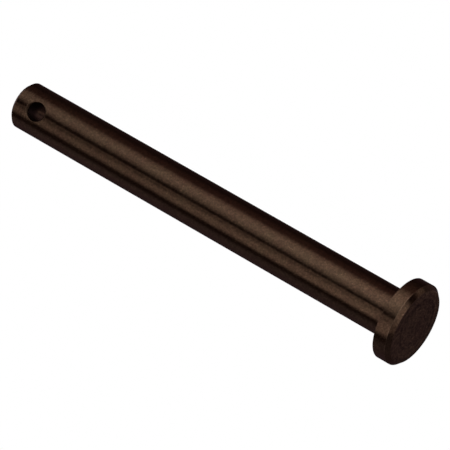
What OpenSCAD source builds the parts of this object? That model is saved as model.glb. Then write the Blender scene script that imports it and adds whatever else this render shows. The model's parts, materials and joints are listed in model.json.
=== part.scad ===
// Clevis pin: a straight round pin with a flat round head at one end and a
// cross hole for a cotter pin near the other. It is turned as one solid.
// The pin stands on its head: the origin is the centre of the head's flat face,
// +Z runs along the shank to the tip, and the cross hole runs along Y.
// All lengths are in millimetres.

/* [Shank] */
// Diameter of the shank
shank_d = 4.7; // [3:0.05:7]
// Length of the shank, from the underside of the head to the tip
shank_l = 44.45; // [12:0.05:120]
// Width of the 45 degree chamfer round the tip
tip_chamfer = 0.3; // [0.05:0.05:1]
// Radius of the fillet between the shank and the underside of the head
fillet_r = 0.2; // [0.05:0.05:1]

/* [Head] */
// Diameter of the head
head_d = 8.1; // [6:0.1:20]
// Thickness of the head along the shank
head_h = 1.75; // [0.8:0.05:6]
// Width of the 45 degree chamfer round the head's flat face
head_chamfer = 0.4; // [0.05:0.05:1.2]
// Width of the small edge break round the underside of the head
rim_break = 0.05; // [0.02:0.01:0.3]

/* [Cross hole] */
// Diameter of the hole drilled across the shank
hole_d = 1.85; // [0.8:0.05:2.6]
// Distance from the tip to the centre of the hole
hole_from_tip = 2.65; // [1.6:0.05:10]
// Width of the 45 degree countersink at each mouth of the hole
countersink_w = 0.2; // [0.05:0.01:0.5]

/* [Hidden] */
$fn = 96;
shank_r = shank_d / 2;
head_r = head_d / 2;
hole_r = hole_d / 2;
tip_z = head_h + shank_l;
hole_z = tip_z - hole_from_tip;
// how far each drill runs past the shank's surface
overrun = shank_d / 4;
oxide_brown = [0.22, 0.15, 0.11];

// Half section of the head: chamfered round the flat face, its underside edge barely broken
module head_section() {
    polygon([
        [0, 0],
        [head_r - head_chamfer, 0],
        [head_r, head_chamfer],
        [head_r, head_h - rim_break],
        [head_r - rim_break, head_h],
        [0, head_h]
    ]);
}

// Half section of the shank, rooted in the head and chamfered at the tip
module shank_section() {
    polygon([
        [0, head_h / 2],
        [shank_r, head_h / 2],
        [shank_r, tip_z - tip_chamfer],
        [shank_r - tip_chamfer, tip_z],
        [0, tip_z]
    ]);
}

// Concave corner that carries the shank into the underside of the head
module fillet_section() {
    difference() {
        translate([shank_r - fillet_r, head_h - fillet_r])
            square(2 * fillet_r);
        translate([shank_r + fillet_r, head_h + fillet_r])
            circle(r = fillet_r);
    }
}

// Head, fillet and shank, turned about the pin's axis
module turned_blank() {
    rotate_extrude()
        union() {
            head_section();
            shank_section();
            fillet_section();
        }
}

// One 45 degree countersink, opening along +Z from the shank's surface
module countersink() {
    translate([0, 0, shank_r - countersink_w])
        cylinder(h = countersink_w + overrun, r1 = hole_r, r2 = hole_r + countersink_w + overrun);
}

// Drill and both countersinks, laid across the shank along Y
module cross_hole() {
    translate([0, 0, hole_z])
        rotate([90, 0, 0])
            union() {
                cylinder(h = shank_d + 2 * overrun, r = hole_r, center = true);
                for (turn = [0, 180])
                    rotate([turn, 0, 0])
                        countersink();
            }
}

// The whole pin
module clevis_pin() {
    color(oxide_brown)
        difference() {
            turned_blank();
            cross_hole();
        }
}

clevis_pin();
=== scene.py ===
"""Clevis pin of dark brown oxide steel, standing on its head on a pale studio floor.

Lengths are in metres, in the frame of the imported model: the origin is the centre of
the head's flat face, +Z runs along the shank to the tip, and the cross hole runs along Y.
Directions are given as azimuth and elevation in degrees: azimuth 0 is -Y and 90 is +X.
"""

import json
import math

import bmesh
import bpy
from mathutils import Matrix, Vector


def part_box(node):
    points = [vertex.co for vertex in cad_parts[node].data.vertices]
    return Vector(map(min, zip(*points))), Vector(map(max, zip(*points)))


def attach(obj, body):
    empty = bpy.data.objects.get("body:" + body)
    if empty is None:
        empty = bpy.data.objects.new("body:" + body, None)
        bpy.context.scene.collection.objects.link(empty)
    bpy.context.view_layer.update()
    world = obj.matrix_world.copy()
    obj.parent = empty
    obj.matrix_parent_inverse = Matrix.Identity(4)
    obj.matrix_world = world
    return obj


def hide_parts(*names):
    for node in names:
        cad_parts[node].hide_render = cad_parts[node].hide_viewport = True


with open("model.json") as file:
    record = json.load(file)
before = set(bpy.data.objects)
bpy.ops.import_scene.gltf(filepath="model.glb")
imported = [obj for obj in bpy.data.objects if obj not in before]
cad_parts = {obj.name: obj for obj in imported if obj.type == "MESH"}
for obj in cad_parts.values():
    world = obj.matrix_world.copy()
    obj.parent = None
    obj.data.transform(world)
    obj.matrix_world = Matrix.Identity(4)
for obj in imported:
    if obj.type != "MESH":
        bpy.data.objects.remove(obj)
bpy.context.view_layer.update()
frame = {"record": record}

MM = 0.001
PIN = "clevis_pin"
MOUNTS = {mount["name"]: mount for mount in frame["record"]["mounts"]}

# Sizes read from the frame
HEAD_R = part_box(PIN)[1].x
TIP_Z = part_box(PIN)[1].z
HEAD_H = MOUNTS["head_underside"]["pos_m"][2]
SHANK_R = MOUNTS["shank"]["dims"]["r_mm"] * MM
HOLE_R = MOUNTS["cross_hole"]["dims"]["r_mm"] * MM
HOLE_Z = MOUNTS["cross_hole"]["pos_m"][2]
COUNTERSINK = SHANK_R - MOUNTS["cross_hole"]["dims"]["length_mm"] * MM / 2

# Edges of the turned form, as in the part's source
HEAD_CHAMFER = 0.4 * MM
RIM_BREAK = 0.05 * MM
FILLET_R = 0.2 * MM
TIP_CHAMFER = 0.3 * MM
# Radius that the sharper turned corners are softened to
EDGE_R = 0.035 * MM
# Strip of surface beside each softened corner that keeps its shading from spreading
EDGE_HOLD = 0.02 * MM

# Wear of the turned corners and of the cross hole's rim
CORNER_WEAR = 1.0
RIM_WEAR = 0.3
# Darkening in the corner under the head, partly heavier oxide and partly painted shade, and how far
# out of the corner it reaches
CORNER_COAT_AND_SHADE = 0.6
CORNER_REACH = 2.5 * FILLET_R
# How dark the countersinks, the bore's end toward -Y and the rest of the bore are made, partly heavier
# oxide and partly painted shade in the hole
MOUTH_COAT_AND_SHADE = 0.95
NEAR_COAT_AND_SHADE = 1.2
FAR_COAT_AND_SHADE = 0.4
# Where along the bore, from its middle, its heavier oxide and painted shade change, and how long the
# change is
COAT_AND_SHADE_CHANGE = -0.5 * MM
COAT_AND_SHADE_CHANGE_LENGTH = 0.8 * MM
# How strongly rings show on the two turned ends, by their height: the head's face and the tip's
RINGS_AT = {0.0: 1.0, TIP_Z: 0.5}

# Mesh density
AROUND = 256
# The column of vertices in the middle of the hole's mouth, on -Y and on +Y
MOUTH_COLUMNS = {-1: 3 * AROUND // 4, 1: AROUND // 4}
ARC_STEPS = 5
FACE_RINGS = 6
SHANK_RING_GAP = 1.0 * MM
RINGS_OVER_PATCH = 2
# The patch of shank round each mouth of the hole
PATCH_COLUMNS = 26
PATCH_ROWS = 32
PATCH_HALF = 1.6 * MM
PATCH_RINGS = 10
# How much the patch's rings crowd toward the rim
PATCH_CROWDING = 1.6
RIM_STEPS = 4
WALL_RINGS = 14
# Share of the countersink's slope that each of its two rounded edges takes
SLOPE_ROUNDED = 0.35
# Rounds of halving that find where the countersink meets the shank
RIM_SEARCH = 30
# Two heights nearer to each other than this are the same
SAME_HEIGHT = 1e-9

# The photograph's camera
VIEW_AZIMUTH = 3.6
VIEW_ELEVATION = -26.16
VIEW_ROLL = math.radians(-60.18)
VIEW_DISTANCE = 333.6 * MM
AIM_Z = 21.51 * MM
AIM_SIDE = -0.54 * MM
LENS = 289.8
SENSOR = 36.0
CLIP_START = 10 * MM


def softened(before, corner, after, radius):
    """Arc that rounds a corner of the outline, with a point to hold each side."""
    to_before = (before - corner).normalized()
    to_after = (after - corner).normalized()
    half_angle = to_before.angle(to_after) / 2
    reach = radius / math.tan(half_angle)
    centre = corner + (to_before + to_after).normalized() * radius / math.sin(half_angle)
    start = corner + to_before * reach
    end = corner + to_after * reach
    swing = (start - centre).angle_signed(end - centre)
    arc = []
    for step in range(ARC_STEPS + 1):
        arc.append(centre + Matrix.Rotation(-swing * step / ARC_STEPS, 2) @ (start - centre))
    return [start + to_before * EDGE_HOLD, *arc, end + to_after * EDGE_HOLD]


def spaced(start, end, count):
    """Evenly spaced values between two ends, which are left out."""
    return [start + (end - start) * step / (count + 1) for step in range(1, count + 1)]


def rounded(corners):
    """Points (radius, height, wear) along an outline whose inner corners are rounded."""
    outline = []
    for before, (corner, radius, worn), after in zip(corners, corners[1:], corners[2:]):
        arc = softened(before[0], corner, after[0], radius)
        wears = [0.0] + [worn] * (len(arc) - 2) + [0.0]
        outline += [(point.x, point.y, wear) for point, wear in zip(arc, wears)]
    return outline


def shank_heights(low, high):
    """Heights of the rings along the straight shank, with even rows across the hole's patch."""
    patch_low = HOLE_Z - PATCH_HALF
    patch_high = HOLE_Z + PATCH_HALF
    below = spaced(low, patch_low, round((patch_low - low) / SHANK_RING_GAP))
    rows = [patch_low, *spaced(patch_low, patch_high, PATCH_ROWS - 1), patch_high]
    above = spaced(patch_high, high, RINGS_OVER_PATCH)
    return below + rows + above


def half_section():
    """Points (radius, height, wear) from the middle of the head's face to the middle of the tip."""
    head_centre = (Vector((0, 0)), 0, 0)
    face_edge = (Vector((HEAD_R - HEAD_CHAMFER, 0)), EDGE_R, CORNER_WEAR)
    rim_edge = (Vector((HEAD_R, HEAD_CHAMFER)), EDGE_R, CORNER_WEAR)
    underside_edge = (Vector((HEAD_R, HEAD_H)), RIM_BREAK, CORNER_WEAR)
    fillet = (Vector((SHANK_R, HEAD_H)), FILLET_R, 0.0)
    chamfer_start = (Vector((SHANK_R, TIP_Z - TIP_CHAMFER)), EDGE_R, CORNER_WEAR)
    chamfer_end = (Vector((SHANK_R - TIP_CHAMFER, TIP_Z)), EDGE_R, CORNER_WEAR)
    tip_centre = (Vector((0, TIP_Z)), 0, 0)
    head = rounded([head_centre, face_edge, rim_edge, underside_edge, fillet, chamfer_start])
    tip = rounded([fillet, chamfer_start, chamfer_end, tip_centre])
    face_rings = [(radius, 0.0, 0.0) for radius in spaced(0, head[0][0], FACE_RINGS)]
    shank_rings = [(SHANK_R, height, 0.0) for height in shank_heights(head[-1][1], tip[0][1])]
    tip_rings = [(radius, TIP_Z, 0.0) for radius in spaced(tip[-1][0], 0, FACE_RINGS)]
    return face_rings + head + shank_rings + tip + tip_rings


def turning_lengths(outline):
    """Length along the outline, from the middle of the head's face to each of its points."""
    length = 0.0
    lengths = []
    for (r0, z0, _), (r1, z1, _) in zip([(0.0, 0.0, 0.0)] + outline, outline):
        length += math.hypot(r1 - r0, z1 - z0)
        lengths.append(length)
    return lengths


def mouth(direction):
    """The countersink's outer and inner edge, in one direction round the hole.

    Both are (distance from the hole's axis, distance from the pin's axis along the hole).
    """
    widest = HOLE_R + COUNTERSINK
    least = HOLE_R + EDGE_R
    reach = widest
    for _ in range(RIM_SEARCH):
        height = math.sqrt(SHANK_R**2 - (reach * math.cos(direction)) ** 2)
        reach = (reach + max(least, widest - (SHANK_R - height))) / 2
    height = math.sqrt(SHANK_R**2 - (reach * math.cos(direction)) ** 2)
    bore_height = min(SHANK_R - COUNTERSINK, height - EDGE_R)
    return Vector((reach, height)), Vector((HOLE_R, bore_height))


def bend(start, corner, end):
    """Points of a smooth curve that rounds a corner, ends included."""
    points = []
    for step in range(RIM_STEPS + 1):
        t = step / RIM_STEPS
        points.append(start * (1 - t) ** 2 + corner * 2 * t * (1 - t) + end * t**2)
    return points


def rim_section(direction):
    """Section from the shank over the hole's rim to the bore.

    Each point is (distance out, distance along the hole, wear, heavier oxide with painted shade).
    """
    edge, bore = mouth(direction)
    out = edge.x + EDGE_R
    on_shank = Vector((out, math.sqrt(SHANK_R**2 - (out * math.cos(direction)) ** 2)))
    slope = bore - edge
    over = bend(on_shank, edge, edge + slope * SLOPE_ROUNDED)
    into = bend(edge + slope * (1 - SLOPE_ROUNDED), bore, bore - Vector((0, EDGE_R)))
    # The countersinks are darkened, partly by heavier oxide and partly by painted shade
    over_points = [(p.x, p.y, RIM_WEAR, MOUTH_COAT_AND_SHADE * step / RIM_STEPS) for step, p in enumerate(over)]
    into_points = [(p.x, p.y, 0.0, MOUTH_COAT_AND_SHADE) for p in into]
    return over_points + into_points


def corner_coat_and_shade(radius, height):
    """How dark a point of the outline near the corner under the head is made: partly heavier oxide,
    partly painted shade.
    """
    if height < HEAD_H - EDGE_HOLD:
        return 0.0
    away = math.hypot(radius - SHANK_R, height - HEAD_H)
    return CORNER_COAT_AND_SHADE * max(0.0, 1 - away / CORNER_REACH)


def bore_coat_and_shade(along):
    """How dark the bore is made at a distance along it from its middle: partly heavier oxide, partly
    painted shade.
    """
    near = min(1.0, max(0.0, 0.5 - (along - COAT_AND_SHADE_CHANGE) / COAT_AND_SHADE_CHANGE_LENGTH))
    return FAR_COAT_AND_SHADE + (NEAR_COAT_AND_SHADE - FAR_COAT_AND_SHADE) * near


class PinMesh:
    """Collects the pin's vertices and faces.

    Each vertex keeps what the material needs: lay, in millimetres along the turned outline or
    the bore, which the turning marks follow; wear; faced, how strongly rings show on a turned
    end; and how much darker the surface is made in the corner under the head and in the hole, partly
    heavier oxide and partly painted shade.
    """

    def __init__(self):
        self.bm = bmesh.new()
        layers = self.bm.verts.layers.float
        self.lay = layers.new("lay")
        self.wear = layers.new("wear")
        self.faced = layers.new("faced")
        self.sheltered = layers.new("sheltered")

    def vertex(self, x, y, z, lay, wear, coat_and_shade=0.0):
        made = self.bm.verts.new((x, y, z))
        made[self.lay] = lay / MM
        made[self.wear] = wear
        made[self.faced] = RINGS_AT.get(z, 0.0)
        made[self.sheltered] = coat_and_shade
        return made

    def bridge(self, first, second):
        """Quads between two closed loops of as many vertices."""
        for k in range(len(first)):
            after = (k + 1) % len(first)
            self.bm.faces.new((first[k], first[after], second[after], second[k]))

    def fan(self, ring, height, lay):
        """Closes a turned end with triangles round its middle."""
        centre = self.vertex(0, 0, height, lay, 0.0)
        for column in range(len(ring)):
            self.bm.faces.new((centre, ring[column], ring[(column + 1) % len(ring)]))

    def piece(self, name):
        """The finished mesh as a smooth object, its normals outward."""
        bmesh.ops.recalc_face_normals(self.bm, faces=self.bm.faces)
        for face in self.bm.faces:
            face.smooth = True
        mesh = bpy.data.meshes.new(name)
        self.bm.to_mesh(mesh)
        self.bm.free()
        made = bpy.data.objects.new(name, mesh)
        bpy.context.scene.collection.objects.link(made)
        return made


def turned_surface(pin_mesh, outline, lengths, low_row, high_row):
    """The turned form, open at both patches. Gives its rings, with None inside the patches."""
    inside = set()
    for middle in MOUTH_COLUMNS.values():
        for column in range(middle - PATCH_COLUMNS, middle + PATCH_COLUMNS):
            inside.update((row, column) for row in range(low_row, high_row))

    grid = []
    for row, ((radius, height, worn), length) in enumerate(zip(outline, lengths)):
        # Heavier oxide and painted shade in the corner under the head
        coat_and_shade = corner_coat_and_shade(radius, height)
        ring = []
        for column in range(AROUND):
            if low_row < row < high_row and (row, column) in inside and (row, column - 1) in inside:
                ring.append(None)
                continue
            angle = 2 * math.pi * column / AROUND
            x = radius * math.cos(angle)
            y = radius * math.sin(angle)
            ring.append(pin_mesh.vertex(x, y, height, length, worn, coat_and_shade))
        grid.append(ring)

    for row, (ring, above) in enumerate(zip(grid, grid[1:])):
        for column in range(AROUND):
            if (row, column) not in inside:
                after = (column + 1) % AROUND
                pin_mesh.bm.faces.new((ring[column], ring[after], above[after], above[column]))
    pin_mesh.fan(grid[0], 0.0, 0.0)
    pin_mesh.fan(grid[-1], TIP_Z, lengths[-1] + outline[-1][0])
    return grid


def patch_loop(low_row, high_row):
    """The closed loop round a patch, as (column from its middle, row)."""
    span = range(-PATCH_COLUMNS, PATCH_COLUMNS)
    rows = range(low_row, high_row)
    loop = [(column, low_row) for column in span]
    loop += [(PATCH_COLUMNS, row) for row in rows]
    loop += [(-column, high_row) for column in span]
    loop += [(-PATCH_COLUMNS, high_row + low_row - row) for row in rows]
    return loop


def hole_mouth(pin_mesh, side, border, lay_at_hole):
    """Carries the surface from the patch's border over the rim and a little into the bore.

    Gives the last loop, its directions round the hole and its distances along the hole.
    """
    directions = [math.atan2(v.co.z - HOLE_Z, v.co.x) for v in border]
    sections = [rim_section(direction) for direction in directions]
    previous = border
    for ring in range(1, PATCH_RINGS + 1):
        share = 1 - (1 - ring / PATCH_RINGS) ** PATCH_CROWDING
        fresh = []
        for corner, direction, section in zip(border, directions, sections):
            far = math.hypot(corner.co.x, corner.co.z - HOLE_Z)
            out = far + (section[0][0] + EDGE_HOLD - far) * share
            x = out * math.cos(direction)
            z = out * math.sin(direction)
            y = side * math.sqrt(SHANK_R**2 - x**2)
            fresh.append(pin_mesh.vertex(x, y, HOLE_Z + z, lay_at_hole + z, 0.0))
        pin_mesh.bridge(previous, fresh)
        previous = fresh
    for points in zip(*sections):
        fresh = []
        for direction, (out, along, worn, coat_and_shade) in zip(directions, points):
            x = out * math.cos(direction)
            z = out * math.sin(direction)
            fresh.append(pin_mesh.vertex(x, side * along, HOLE_Z + z, lay_at_hole + z, worn, coat_and_shade))
        pin_mesh.bridge(previous, fresh)
        previous = fresh
    return previous, directions, [section[-1][1] for section in sections]


def bore_wall(pin_mesh, near_mouth, far_mouth):
    """The bore between the mouth on -Y and the mouth on +Y."""
    near, directions, near_depths = near_mouth
    far, _, far_depths = far_mouth
    previous = near
    for share in spaced(0, 1, WALL_RINGS):
        fresh = []
        for direction, start, end in zip(directions, near_depths, far_depths):
            along = -start + (start + end) * share
            x = HOLE_R * math.cos(direction)
            z = HOLE_Z + HOLE_R * math.sin(direction)
            # The bore is darkened, partly by heavier oxide and partly by painted shade
            fresh.append(pin_mesh.vertex(x, along, z, along, 0.0, bore_coat_and_shade(along)))
        pin_mesh.bridge(previous, fresh)
        previous = fresh
    pin_mesh.bridge(previous, far)


def build_pin():
    """The whole pin as one closed mesh."""
    outline = half_section()
    lengths = turning_lengths(outline)
    patch_low = HOLE_Z - PATCH_HALF
    heights = [height for _, height, _ in outline]
    low_row = next(row for row, z in enumerate(heights) if abs(z - patch_low) < SAME_HEIGHT)
    high_row = low_row + PATCH_ROWS
    lay_at_hole = (lengths[low_row] + lengths[high_row]) / 2

    pin_mesh = PinMesh()
    grid = turned_surface(pin_mesh, outline, lengths, low_row, high_row)
    mouths = []
    for side, middle in MOUTH_COLUMNS.items():
        loop = patch_loop(low_row, high_row)
        border = [grid[row][(middle - side * column) % AROUND] for column, row in loop]
        mouths.append(hole_mouth(pin_mesh, side, border, lay_at_hole))
    bore_wall(pin_mesh, *mouths)
    return pin_mesh.piece("turned_pin")


class Graph:
    """A small helper that adds nodes to a material or world and links them."""

    def __init__(self, owner):
        owner.use_nodes = True
        self.tree = owner.node_tree
        self.tree.nodes.clear()

    def add(self, kind, settings=None, **inputs):
        node = self.tree.nodes.new(kind)
        for name, value in (settings or {}).items():
            setattr(node, name, value)
        for name, value in inputs.items():
            self.put(node.inputs[name.replace("_", " ")], value)
        return node

    def put(self, socket, value):
        """Links a node's output to a socket, or sets the socket to a plain value."""
        if isinstance(value, bpy.types.NodeSocket):
            self.tree.links.new(value, socket)
        else:
            socket.default_value = value

    def math(self, operation, *values):
        node = self.add("ShaderNodeMath", {"operation": operation})
        for socket, value in zip(node.inputs, values):
            self.put(socket, value)
        return node.outputs[0]

    def vector(self, operation, *values, **inputs):
        node = self.add("ShaderNodeVectorMath", {"operation": operation}, **inputs)
        for socket, value in zip(node.inputs, values):
            self.put(socket, value)
        return node.outputs["Value" if operation in ("DOT_PRODUCT", "LENGTH") else "Vector"]

    def attribute(self, name):
        return self.add("ShaderNodeAttribute", {"attribute_name": name}).outputs["Fac"]

    def fade(self, value, start, end, low=0.0, high=1.0):
        """Smooth step of value from low at start to high at end."""
        node = self.add("ShaderNodeMapRange", {"interpolation_type": "SMOOTHSTEP"})
        ends = {"From Min": start, "From Max": end, "To Min": low, "To Max": high}
        for name, number in {"Value": value, **ends}.items():
            self.put(node.inputs[name], number)
        return node.outputs["Result"]

    def noise(self, place, scale, detail, rough):
        node = self.add("ShaderNodeTexNoise", {"noise_dimensions": "3D"}, Vector=place)
        node.inputs["Scale"].default_value = scale
        node.inputs["Detail"].default_value = detail
        node.inputs["Roughness"].default_value = rough
        return node.outputs["Fac"]

    def bump(self, height, strength, under=None):
        """Fine relief of the oxide, laid over another one if that is given."""
        node = self.add("ShaderNodeBump", Height=height)
        node.inputs["Strength"].default_value = strength
        node.inputs["Distance"].default_value = RELIEF
        if under:
            self.put(node.inputs["Normal"], under)
        return node.outputs["Normal"]

    def mix_shaders(self, share, first, second):
        node = self.add("ShaderNodeMixShader")
        for socket, value in zip(node.inputs, (share, first, second)):
            self.put(socket, value)
        return node.outputs[0]


# Noises of the oxide, from fine to coarse: scale per metre, detail, roughness
SPECKLE = (6200.0, 2.0, 0.7)
MOTTLE = (2400.0, 3.0, 0.6)
STAINS = (1500.0, 3.0, 0.55)
CLOUDS = (420.0, 4.0, 0.6)
# Turning marks: their noise, how fast it runs along the lay, per millimetre, and how fast it
# changes with the place, per metre
MARKS = (1.0, 3.0, 0.7)
MARKS_ALONG = 2.8
MARKS_DRIFT = 60.0
# Depth of the grain and the turning marks, and how strongly each shows
RELIEF = 0.002 * MM
GRAIN_RELIEF = 0.4
MARKS_RELIEF = 0.35
# The oxide where its tone is darkest and lightest, and where it is worn thin
DARK_OXIDE = (0.081, 0.0445, 0.03, 1)
LIGHT_OXIDE = (0.093, 0.0595, 0.0365, 1)
WORN_OXIDE = (0.15, 0.1, 0.07, 1)
# The clouds' share in the tone, the rest being the stains', and where the tone is darkest and lightest
CLOUDS_SHARE = 0.6
DARKEST = 0.32
LIGHTEST = 0.68
# What the noises do, as (noise from, noise to, value at the first, value at the second)
GRAIN_LEVEL = (0.35, 0.65, 0.7, 1.24)
PALE_GRAIN_LEVEL = (0.6, 0.75, 0.0, 0.7)
MOTTLE_LEVEL = (0.3, 0.7, 0.94, 1.06)
RINGS_OF_MARKS = (0.35, 0.65, -0.45, 0.45)
RINGS_OF_MOTTLE = (0.3, 0.7, -0.5, 0.5)
WORN_SHARE = (0.35, 0.65, 0.2, 0.6)
CLOUDS_ROUGHNESS = (0.3, 0.7, 0.1, 0.125)
GRAIN_ROUGHNESS = (0.35, 0.7, 0.0, 0.04)
# Tint of the sheen at grazing angles
SHEEN = (0.75, 0.62, 0.63, 1)
# What the heavier oxide and painted shade take off the colour, and what the heavier oxide adds to the
# roughness
COAT_AND_SHADE_DARKENING = 0.65
COAT_ROUGHNESS = 0.3


def oxide_steel():
    """Dark brown oxide on turned steel: satin and finely speckled, with faint turning marks."""
    material = bpy.data.materials.new("oxide_steel")
    g = Graph(material)
    place = g.add("ShaderNodeTexCoord").outputs["Object"]
    wear = g.attribute("wear")
    sheltered = g.attribute("sheltered")
    speckle = g.noise(place, *SPECKLE)
    mottle = g.noise(place, *MOTTLE)
    stains = g.noise(place, *STAINS)
    clouds = g.noise(place, *CLOUDS)

    # Turning marks run round the pin: they vary along the lay, and slowly with the place
    along = g.add("ShaderNodeCombineXYZ", Z=g.math("MULTIPLY", g.attribute("lay"), MARKS_ALONG))
    slow = g.vector("SCALE", place, Scale=MARKS_DRIFT)
    marks = g.noise(g.vector("ADD", slow, along.outputs[0]), *MARKS)

    cloudy = g.math("MULTIPLY", clouds, CLOUDS_SHARE)
    stained = g.math("MULTIPLY", stains, 1 - CLOUDS_SHARE)
    tone = g.add("ShaderNodeValToRGB", Fac=g.math("ADD", cloudy, stained))
    dark, light = tone.color_ramp.elements
    dark.position = DARKEST
    dark.color = DARK_OXIDE
    light.position = LIGHTEST
    light.color = LIGHT_OXIDE

    # Grain of the oxide, rings on the turned ends, and darkening in the corner and the hole, partly
    # heavier oxide and partly painted shade
    grain = g.math("ADD", g.fade(speckle, *GRAIN_LEVEL), g.fade(speckle, *PALE_GRAIN_LEVEL))
    grain = g.math("MULTIPLY", grain, g.fade(mottle, *MOTTLE_LEVEL))
    swirls = g.math("ADD", g.fade(marks, *RINGS_OF_MARKS), g.fade(mottle, *RINGS_OF_MOTTLE))
    rings = g.math("MULTIPLY", g.attribute("faced"), swirls)
    # Painted shade and heavier oxide darken the colour here
    coat_and_shade = g.math("MULTIPLY", sheltered, -COAT_AND_SHADE_DARKENING)
    level = g.math("MULTIPLY", grain, g.math("ADD", 1.0, g.math("ADD", rings, coat_and_shade)))
    grey = g.add("ShaderNodeCombineColor", Red=level, Green=level, Blue=level)
    grained = g.add("ShaderNodeMix", {"data_type": "RGBA", "blend_type": "MULTIPLY"})
    grained.inputs["Factor"].default_value = 1.0
    g.put(grained.inputs["A"], tone.outputs["Color"])
    g.put(grained.inputs["B"], grey.outputs["Color"])

    # Edges: the oxide is thinner there
    edge = g.add("ShaderNodeMix", {"data_type": "RGBA"})
    g.put(edge.inputs["Factor"], g.math("MULTIPLY", wear, g.fade(stains, *WORN_SHARE)))
    g.put(edge.inputs["A"], grained.outputs["Result"])
    edge.inputs["B"].default_value = WORN_OXIDE

    rough = g.math("ADD", g.fade(clouds, *CLOUDS_ROUGHNESS), g.fade(speckle, *GRAIN_ROUGHNESS))
    rough = g.math("ADD", rough, g.math("MULTIPLY", sheltered, COAT_ROUGHNESS))

    shader = g.add("ShaderNodeBsdfPrincipled", Base_Color=edge.outputs["Result"], Roughness=rough)
    shader.inputs["Metallic"].default_value = 1.0
    shader.inputs["Specular Tint"].default_value = SHEEN
    grain_relief = g.bump(speckle, GRAIN_RELIEF)
    g.put(shader.inputs["Normal"], g.bump(marks, MARKS_RELIEF, under=grain_relief))
    g.add("ShaderNodeOutputMaterial", Surface=shader.outputs[0])
    return material


# Upright studio panels: azimuth of the brightest line, reach on its low and high side in degrees,
# share of the light low down and high up, light
PANELS = [
    (37.6, 36.5, 39.2, 1.25, 0.45, (1.08, 1.09, 1.09)),
    (75.6, 38, 38, 1.3, 0.5, (0.135, 0.083, 0.083)),
    (-10.9, 6.5, 5.5, 0.9, 0.95, (0.29, 0.28, 0.27)),
    (-36.9, 25.2, 27.5, 1.31, 0.5, (0.7, 0.68, 0.67)),
    (-96.4, 52, 23, 0.75, 1.45, (0.13, 0.134, 0.155)),
]
# Elevations between which the upright panels narrow, and what divides their reach at each
TAPER_BETWEEN = (18, 34)
TAPER = (0.86, 1.155)
# Elevations between which their light goes from one share to the other
SHARES_BETWEEN = (16, 38)
# Elevations between which they fade in at their foot, well below the horizon
FOOT_BETWEEN = (-50, -30)
# Round studio panels: azimuth, elevation, radius of the even middle and of the whole in degrees, light
ROUND_PANELS = [
    (27, -66, 2, 28, (0.87, 0.85, 0.85)),
    (-45.5, -62.2, 5, 15, (0.33, 0.32, 0.31)),
    (115, -36.5, 3, 16.5, (0.31, 0.29, 0.28)),
    (145, -15, 8, 28, (0.085, 0.085, 0.09)),
    (-48, 16, 2, 10.5, (0.3, 0.28, 0.27)),
    (-86, -50, 5, 16, (0.05, 0.052, 0.06)),
    (183.6, -23, 6, 22, (0.062, 0.073, 0.076)),
    (184, -35, 4, 10, (0.5, 0.43, 0.4)),
    (168, -12, 4, 14, (0.7, 0.7, 0.7)),
    (270, -15, 4, 14, (0.5, 0.5, 0.52)),
    (0, 90, 20, 42, (0.5, 0.5, 0.5)),
]
# Light of the room between the panels
ROOM = (0.064, 0.048, 0.049)


def heading(azimuth, elevation):
    """Unit vector toward an azimuth and elevation in degrees."""
    a, e = math.radians(azimuth), math.radians(elevation)
    return Vector((math.sin(a) * math.cos(e), -math.cos(a) * math.cos(e), math.sin(e)))


def studio_world():
    """White to the camera. In reflections, a dark room with soft panels round the pin."""
    world = bpy.data.worlds.new("studio")
    bpy.context.scene.world = world
    g = Graph(world)
    toward = g.add("ShaderNodeTexCoord").outputs["Generated"]
    x, y, z = g.add("ShaderNodeSeparateXYZ", Vector=toward).outputs
    azimuth = g.math("DEGREES", g.math("ARCTAN2", x, g.math("MULTIPLY", y, -1.0)))

    def by_elevation(between, low=0.0, high=1.0):
        """Fades from low to high between two elevations."""
        start, end = (math.sin(math.radians(elevation)) for elevation in between)
        return g.fade(z, start, end, low, high)

    taper = by_elevation(TAPER_BETWEEN, *TAPER)
    upright = (0.0, 0.0, 0.0)
    for middle, low_reach, high_reach, light_low, light_high, light in PANELS:
        off = g.math("WRAP", g.math("SUBTRACT", azimuth, middle), 180.0, -180.0)
        above = g.math("DIVIDE", off, float(high_reach))
        below = g.math("DIVIDE", off, float(-low_reach))
        share = g.math("MULTIPLY", g.math("MAXIMUM", above, below), taper)
        share = g.math("MINIMUM", share, 1.0)
        lit = g.math("COSINE", g.math("MULTIPLY", share, math.pi / 2))
        lit = g.math("MULTIPLY", lit, by_elevation(SHARES_BETWEEN, light_low, light_high))
        upright = g.vector("MULTIPLY_ADD", lit, light, upright)
    upright = g.vector("MULTIPLY", upright, by_elevation(FOOT_BETWEEN))
    total = g.vector("ADD", upright, ROOM)
    for panel_azimuth, panel_elevation, even, reach, light in ROUND_PANELS:
        near = g.vector("DOT_PRODUCT", toward, heading(panel_azimuth, panel_elevation))
        lit = g.fade(near, math.cos(math.radians(reach)), math.cos(math.radians(even)))
        total = g.vector("MULTIPLY_ADD", lit, light, total)

    room = g.add("ShaderNodeBackground", Color=total)
    white = g.add("ShaderNodeBackground", Color=(1, 1, 1, 1))
    seen = g.add("ShaderNodeLightPath").outputs["Is Camera Ray"]
    surface = g.mix_shaders(seen, room.outputs[0], white.outputs[0])
    g.add("ShaderNodeOutputWorld", Surface=surface)


FLOOR_R = 700 * MM
# The floor is whole out to this radius, and fades from there to its rim
FLOOR_WHOLE = 0.15 * FLOOR_R
# Gap under the head's face, which keeps the two flat faces from flickering
FLOOR_DROP = 0.03 * MM
FLOOR_SIDES = 96
FLOOR_COLOUR = (0.8, 0.8, 0.79, 1)


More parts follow.
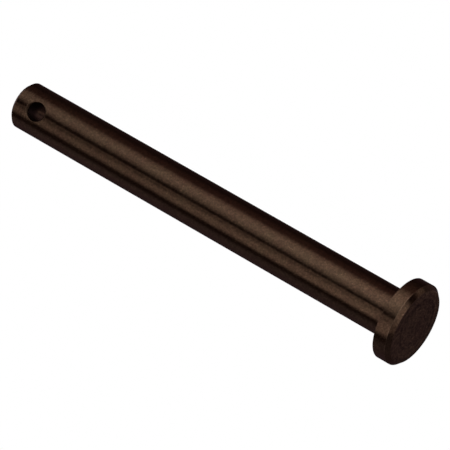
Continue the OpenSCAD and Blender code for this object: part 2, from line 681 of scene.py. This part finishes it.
def pale_floor():
    """Round one-sided floor that fades out at its rim.

    The photograph looks up at the head from under the floor, which is clear from that side.
    """
    bm = bmesh.new()
    bmesh.ops.create_circle(bm, cap_ends=True, segments=FLOOR_SIDES, radius=FLOOR_R)
    mesh = bpy.data.meshes.new("floor")
    bm.to_mesh(mesh)
    bm.free()
    floor = bpy.data.objects.new("floor", mesh)
    floor.location.z = -FLOOR_DROP
    bpy.context.scene.collection.objects.link(floor)
    floor.visible_glossy = False
    floor.visible_diffuse = False
    floor.visible_transmission = False
    floor.visible_shadow = False

    material = bpy.data.materials.new("pale_floor")
    g = Graph(material)
    place = g.add("ShaderNodeTexCoord").outputs["Object"]
    faded = g.fade(g.vector("LENGTH", place), FLOOR_WHOLE, FLOOR_R)
    clear = g.math("MAXIMUM", faded, g.add("ShaderNodeNewGeometry").outputs["Backfacing"])
    paint = g.add("ShaderNodeBsdfDiffuse", Color=FLOOR_COLOUR)
    nothing = g.add("ShaderNodeBsdfTransparent")
    surface = g.mix_shaders(clear, paint.outputs[0], nothing.outputs[0])
    g.add("ShaderNodeOutputMaterial", Surface=surface)
    mesh.materials.append(material)


def floor_light(name, azimuth, elevation, strength, softness):
    """Wide soft light for the floor alone, so that it doesn't show in the steel."""
    data = bpy.data.lights.new(name, "SUN")
    data.energy = strength
    data.angle = math.radians(softness)
    light = bpy.data.objects.new(name, data)
    bpy.context.scene.collection.objects.link(light)
    light.rotation_euler = heading(azimuth, elevation).to_track_quat("Z", "Y").to_euler()
    light.visible_glossy = False


def photo_camera():
    """Camera at the photograph's viewing angle: under the head's face, rolled to the left."""
    data = bpy.data.cameras.new("camera")
    data.lens = LENS
    data.sensor_width = SENSOR
    data.clip_start = CLIP_START
    camera = bpy.data.objects.new("camera", data)
    bpy.context.scene.collection.objects.link(camera)
    back = heading(VIEW_AZIMUTH, VIEW_ELEVATION)
    right = heading(VIEW_AZIMUTH + 90, 0)
    level = Matrix((right, back.cross(right), back)).transposed()
    turned = level @ Matrix.Rotation(VIEW_ROLL, 3, "Z")
    aim = Vector((0, 0, AIM_Z)) + right * AIM_SIDE
    camera.matrix_world = Matrix.Translation(aim + back * VIEW_DISTANCE) @ turned.to_4x4()
    bpy.context.scene.camera = camera


photo_camera()
studio_world()
pale_floor()
floor_light("key", azimuth=-40, elevation=55, strength=2.2, softness=50)
floor_light("fill", azimuth=120, elevation=70, strength=1.2, softness=90)
bpy.context.scene.view_settings.view_transform = "Standard"

pin = build_pin()
pin.data.materials.append(oxide_steel())
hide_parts(PIN)
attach(pin, "root")
